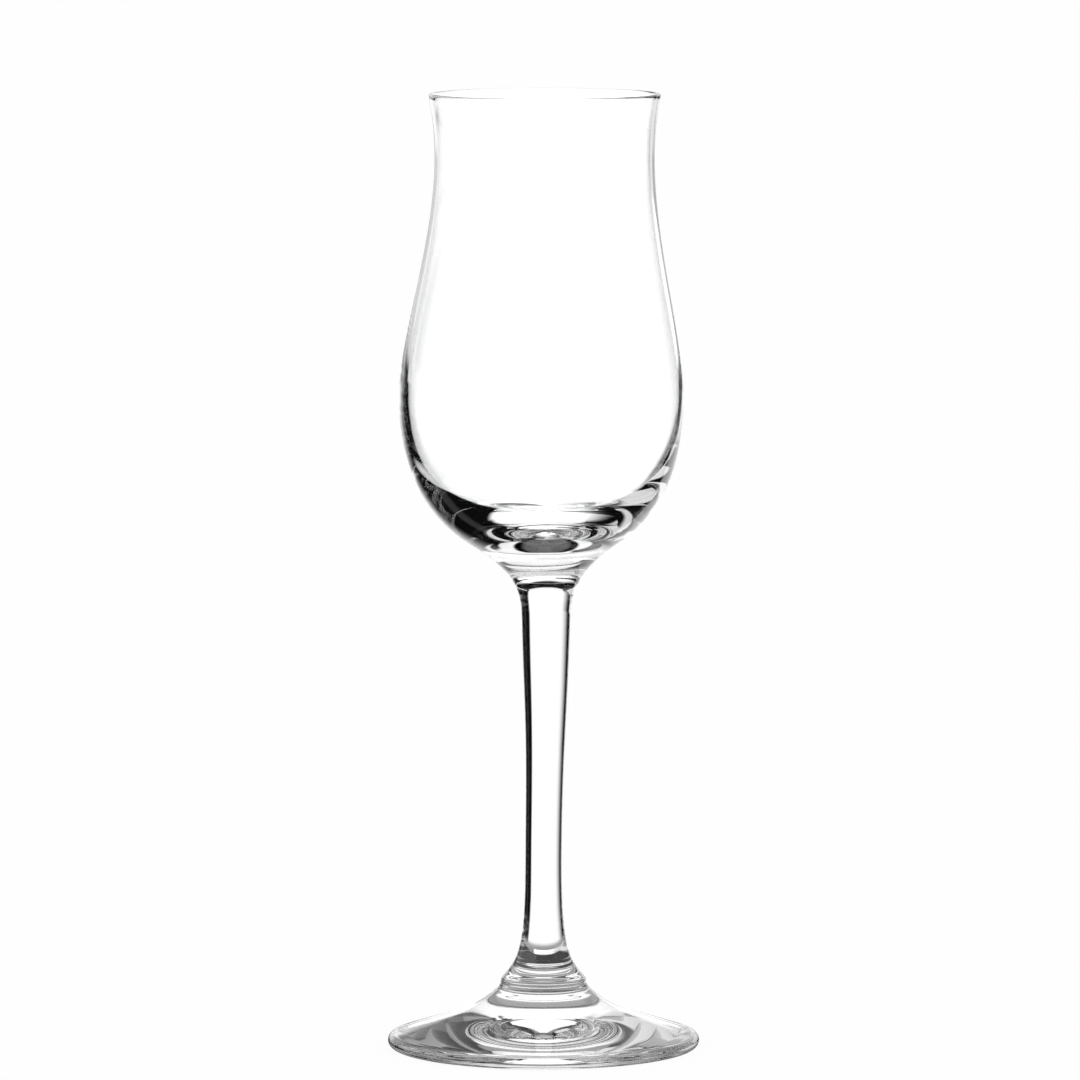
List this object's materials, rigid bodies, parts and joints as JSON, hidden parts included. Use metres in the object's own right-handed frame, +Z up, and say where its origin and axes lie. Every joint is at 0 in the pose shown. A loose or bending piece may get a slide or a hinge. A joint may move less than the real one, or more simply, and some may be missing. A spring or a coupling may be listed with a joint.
{
  "type": "port glass",
  "caption": "Stemmed port glass in clear crystal: a waisted tulip bowl with a flared lip on a slim drawn stem and a round foot.",
  "frame": {"origin": "centre of the standing ring, on the plane that the glass stands on", "axes": "+Z up along the axis that every piece is turned about; X and Y are alike"},
  "size_m": [0.062, 0.062, 0.19],
  "materials": {
    "bowl_crystal": "fire-polished clear",
    "stem_crystal": "drawn clear",
    "foot_crystal": "pressed and polished clear"
  },
  "bodies": {
    "root": {"bowl": "bowl_crystal", "stem": "stem_crystal", "foot": "foot_crystal"}
  },
  "joints": []
}
